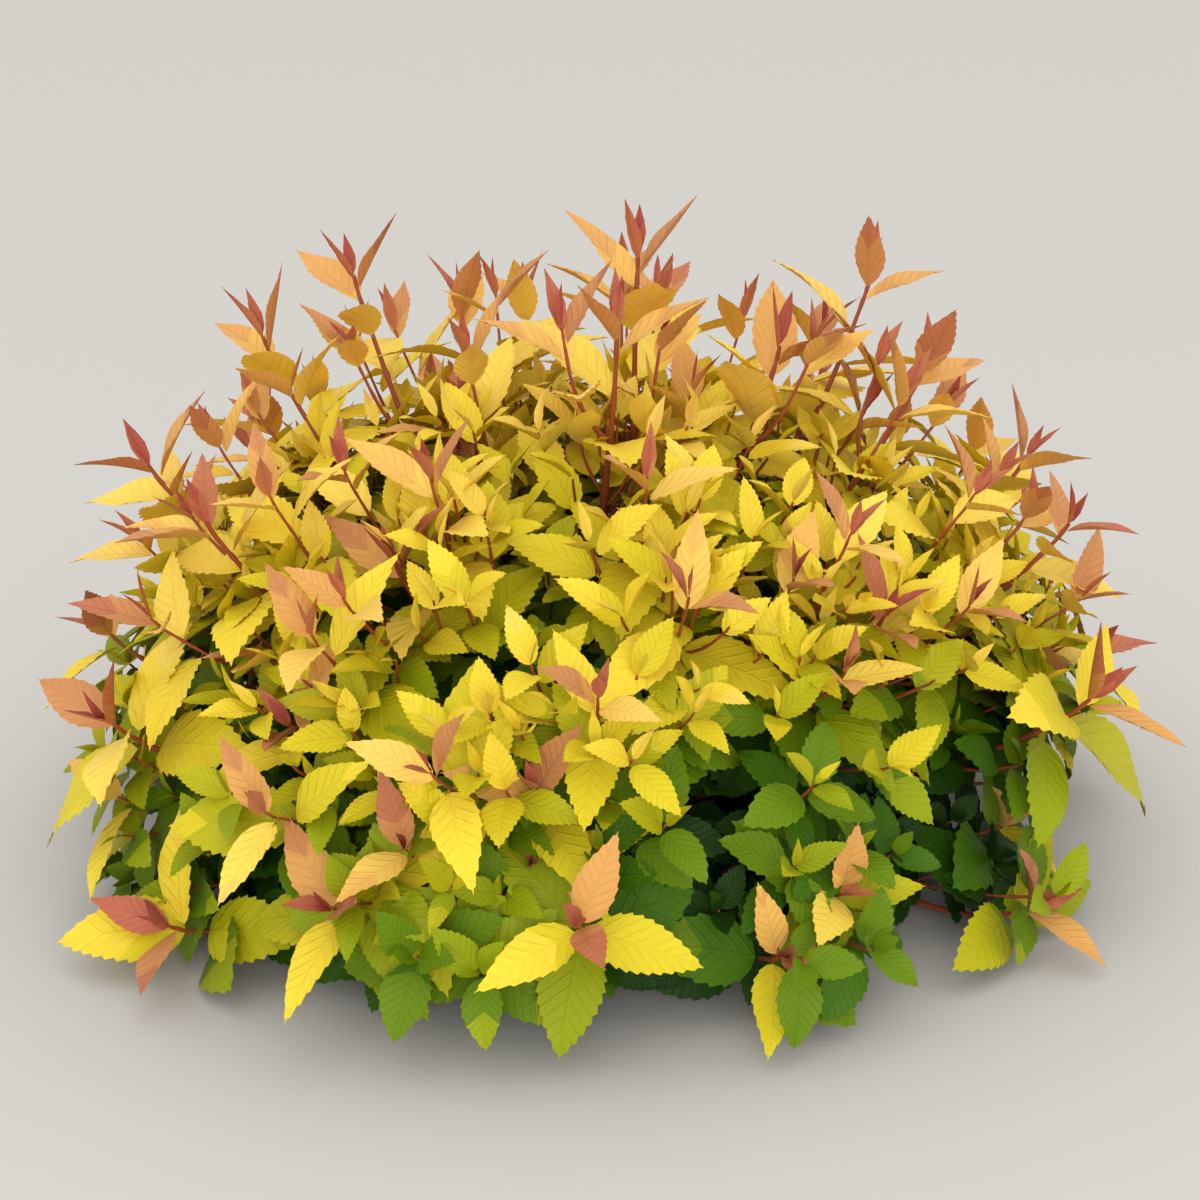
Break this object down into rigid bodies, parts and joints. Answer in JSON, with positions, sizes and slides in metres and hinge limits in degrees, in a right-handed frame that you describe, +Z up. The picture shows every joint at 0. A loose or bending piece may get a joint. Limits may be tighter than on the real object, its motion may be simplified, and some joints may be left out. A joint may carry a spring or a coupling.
{
  "type": "spirea shrub",
  "caption": "Low rounded spirea shrub: slender red-brown canes from one woody base, ending in leafy shoots with golden leaves and copper-red tips.",
  "frame": {"origin": "ground level, in the middle of the flat cut under the woody base", "axes": "+Z up out of the ground; the shrub's front faces -Y, its right-hand side +X"},
  "size_m": [0.6672, 0.6097, 0.3712],
  "materials": {
    "base_bark": "rough grey-brown bark",
    "cane_bark": "smooth red-brown bark",
    "leaves_top": "satin leaves, gold with copper-red tips",
    "leaves_upper": "satin leaves, gold and orange",
    "leaves_middle": "satin leaves, golden yellow",
    "leaves_low": "satin leaves, yellow-green to green"
  },
  "bodies": {
    "root": {"woody_base": "base_bark", "stem_top_1": "cane_bark", "stem_top_2": "cane_bark", "stem_top_3": "cane_bark", "stem_top_4": "cane_bark", "stem_upper_1": "cane_bark", "stem_upper_2": "cane_bark", "stem_upper_3": "cane_bark", "stem_upper_4": "cane_bark", "stem_upper_5": "cane_bark", "stem_upper_6": "cane_bark", "stem_upper_7": "cane_bark", "stem_upper_8": "cane_bark", "stem_middle_1": "cane_bark", "stem_middle_2": "cane_bark", "stem_middle_3": "cane_bark", "stem_middle_4": "cane_bark", "stem_middle_5": "cane_bark", "stem_middle_6": "cane_bark", "stem_middle_7": "cane_bark", "stem_middle_8": "cane_bark", "stem_middle_9": "cane_bark", "stem_middle_10": "cane_bark", "foliage_top_1": "leaves_top", "foliage_top_2": "leaves_top", "foliage_top_3": "leaves_top", "foliage_top_4": "leaves_top", "foliage_upper_1": "leaves_upper", "foliage_upper_2": "leaves_upper", "foliage_upper_3": "leaves_upper", "foliage_upper_4": "leaves_upper", "foliage_upper_5": "leaves_upper", "foliage_upper_6": "leaves_upper", "foliage_upper_7": "leaves_upper", "foliage_upper_8": "leaves_upper", "foliage_middle_1": "leaves_middle", "foliage_middle_2": "leaves_middle", "foliage_middle_3": "leaves_middle", "foliage_middle_4": "leaves_middle", "foliage_middle_5": "leaves_middle", "foliage_middle_6": "leaves_middle", "foliage_middle_7": "leaves_middle", "foliage_middle_8": "leaves_middle", "foliage_middle_9": "leaves_middle", "foliage_middle_10": "leaves_middle", "foliage_low_1": "leaves_low", "foliage_low_2": "leaves_low", "foliage_low_3": "leaves_low", "foliage_low_4": "leaves_low", "foliage_low_5": "leaves_low", "foliage_low_6": "leaves_low", "foliage_low_7": "leaves_low", "foliage_low_8": "leaves_low", "foliage_low_9": "leaves_low", "foliage_low_10": "leaves_low", "foliage_low_11": "leaves_low", "foliage_low_12": "leaves_low", "foliage_low_13": "leaves_low"}
  },
  "joints": []
}
